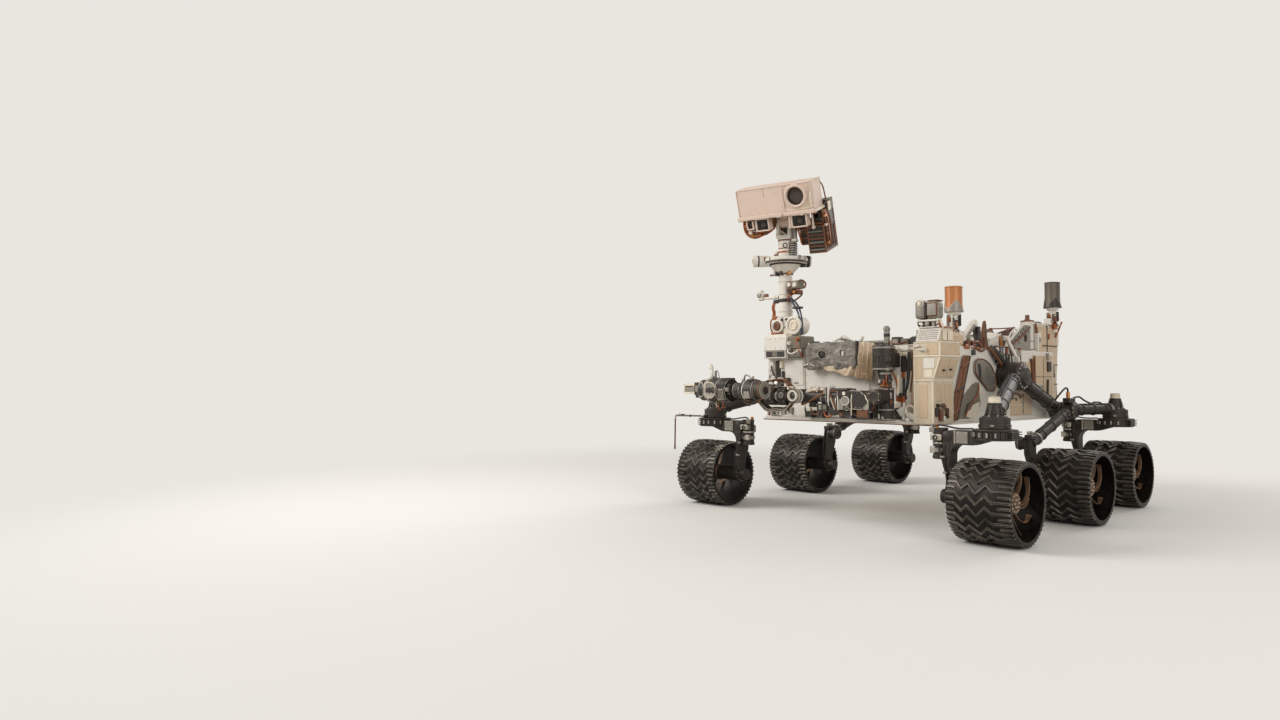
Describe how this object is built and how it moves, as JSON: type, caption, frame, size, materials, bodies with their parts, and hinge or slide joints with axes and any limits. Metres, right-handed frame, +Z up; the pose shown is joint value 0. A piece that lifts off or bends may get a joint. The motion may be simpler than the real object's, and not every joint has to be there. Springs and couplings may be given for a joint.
{
  "type": "planetary rover",
  "caption": "Wheeled planetary rover with rocker-bogie legs, steered corner wheels, a turning camera mast and a folding instrument arm.",
  "frame": {"origin": "on the ground, at the centre of the rover's outline seen from above, within a few millimetres of the middle axle's line", "axes": "+X forward, +Y to the rover's left, +Z up"},
  "size_m": [3.2972, 2.76, 2.5879],
  "materials": {
    "white_paint": "matt white thermal paint, dusty",
    "beige_panel": "matt beige painted panels",
    "grey_cover": "grey quilted thermal cover",
    "dark_metal": "dark bronze anodised aluminium",
    "grey_metal": "bead-blasted grey aluminium",
    "wheel_metal": "black anodised aluminium, worn and dusty",
    "copper_housing": "dark copper-brown paint"
  },
  "bodies": {
    "chassis": {"antenna_can_front": "grey_metal", "antenna_can_rear": "grey_metal", "arm_mount": "dark_metal", "belly_flange": "white_paint", "bogie_left": "dark_metal", "bogie_right": "dark_metal", "chassis_body": "white_paint", "corner_housing": "beige_panel", "deck_camera": "grey_metal", "deck_fittings": "white_paint", "deck_instrument": "white_paint", "deck_plate": "white_paint", "deck_truss": "grey_metal", "differential_beam": "grey_metal", "differential_links": "white_paint", "front_cover": "grey_cover", "hazard_cameras": "dark_metal", "mast_fittings": "white_paint", "mast_foot": "white_paint", "mast_trunk": "white_paint", "middle_drives": "dark_metal", "power_bracket": "grey_metal", "power_source": "copper_housing", "rear_cabinets": "beige_panel", "rocker_left": "dark_metal", "rocker_right": "dark_metal", "side_fittings": "grey_metal", "side_whisker": "grey_metal", "steering_actuators": "dark_metal", "whip_antenna": "white_paint"},
    "mast_pan": {"mast_neck": "white_paint"},
    "mast_tilt": {"mast_head": "white_paint", "head_cameras": "dark_metal", "head_housing": "copper_housing"},
    "arm_shoulder": {"arm_shoulder": "dark_metal"},
    "arm_upper": {"arm_upper": "dark_metal"},
    "arm_forearm": {"arm_forearm": "dark_metal"},
    "arm_wrist": {"arm_wrist": "dark_metal"},
    "arm_turret": {"arm_turret": "dark_metal"},
    "steer_front_left": {"fork_front_left": "dark_metal", "drive_front_left": "dark_metal"},
    "steer_front_right": {"fork_front_right": "dark_metal", "drive_front_right": "dark_metal"},
    "steer_rear_left": {"fork_rear_left": "dark_metal", "drive_rear_left": "dark_metal"},
    "steer_rear_right": {"fork_rear_right": "dark_metal", "drive_rear_right": "dark_metal"},
    "wheel_front_left": {"wheel_front_left": "wheel_metal"},
    "wheel_front_right": {"wheel_front_right": "wheel_metal"},
    "wheel_rear_left": {"wheel_rear_left": "wheel_metal"},
    "wheel_rear_right": {"wheel_rear_right": "wheel_metal"},
    "wheel_middle_left": {"wheel_middle_left": "wheel_metal"},
    "wheel_middle_right": {"wheel_middle_right": "wheel_metal"}
  },
  "joints": [
    {"name": "steer_front_left", "type": "hinge", "parent": "chassis", "child": "steer_front_left", "pos_m": [1.19, 1.18, 0.708], "axis": [0, 0, 1], "range_deg": [-90, 90]},
    {"name": "steer_front_right", "type": "hinge", "parent": "chassis", "child": "steer_front_right", "pos_m": [1.19, -1.18, 0.708], "axis": [0, 0, -1], "range_deg": [-90, 90]},
    {"name": "steer_rear_left", "type": "hinge", "parent": "chassis", "child": "steer_rear_left", "pos_m": [-1.16, 1.08, 0.708], "axis": [0, 0, -1], "range_deg": [-90, 90]},
    {"name": "steer_rear_right", "type": "hinge", "parent": "chassis", "child": "steer_rear_right", "pos_m": [-1.16, -1.08, 0.708], "axis": [0, 0, 1], "range_deg": [-90, 90]},
    {"name": "spin_front_left", "type": "hinge", "parent": "steer_front_left", "child": "wheel_front_left", "pos_m": [1.19, 1.18, 0.2625], "axis": [0, 1, 0], "continuous": true},
    {"name": "spin_front_right", "type": "hinge", "parent": "steer_front_right", "child": "wheel_front_right", "pos_m": [1.19, -1.18, 0.2625], "axis": [0, 1, 0], "continuous": true},
    {"name": "spin_rear_left", "type": "hinge", "parent": "steer_rear_left", "child": "wheel_rear_left", "pos_m": [-1.16, 1.08, 0.2625], "axis": [0, 1, 0], "continuous": true},
    {"name": "spin_rear_right", "type": "hinge", "parent": "steer_rear_right", "child": "wheel_rear_right", "pos_m": [-1.16, -1.08, 0.2625], "axis": [0, 1, 0], "continuous": true},
    {"name": "spin_middle_left", "type": "hinge", "parent": "chassis", "child": "wheel_middle_left", "pos_m": [0, 1.18, 0.2625], "axis": [0, 1, 0], "continuous": true},
    {"name": "spin_middle_right", "type": "hinge", "parent": "chassis", "child": "wheel_middle_right", "pos_m": [0, -1.18, 0.2625], "axis": [0, 1, 0], "continuous": true},
    {"name": "mast_pan", "type": "hinge", "parent": "chassis", "child": "mast_pan", "pos_m": [0.985, -0.6, 1.946], "axis": [0, 0, 1], "range_deg": [-180, 180]},
    {"name": "mast_tilt", "type": "hinge", "parent": "mast_pan", "child": "mast_tilt", "pos_m": [0.985, -0.6, 2.286], "axis": [-0.2588, 0.9659, 0], "range_deg": [-45, 45]},
    {"name": "arm_azimuth", "type": "hinge", "parent": "chassis", "child": "arm_shoulder", "pos_m": [1.215, 0.44, 0.9], "axis": [0, 0, 1], "range_deg": [0, 110]},
    {"name": "arm_elevation", "type": "hinge", "parent": "arm_shoulder", "child": "arm_upper", "pos_m": [1.3, 0.44, 0.9], "axis": [-1, 0, 0], "range_deg": [-35, 90]},
    {"name": "arm_elbow", "type": "hinge", "parent": "arm_upper", "child": "arm_forearm", "pos_m": [1.39, -0.183, 0.9], "axis": [1, 0, 0], "range_deg": [-130, 130]},
    {"name": "arm_wrist", "type": "hinge", "parent": "arm_forearm", "child": "arm_wrist", "pos_m": [1.45, -0.568, 0.9], "axis": [-1, 0, 0], "range_deg": [-110, 110]},
    {"name": "arm_turret", "type": "hinge", "parent": "arm_wrist", "child": "arm_turret", "pos_m": [1.5725, -0.568, 0.94], "axis": [0, 1, 0], "range_deg": [-175, 175]}
  ]
}
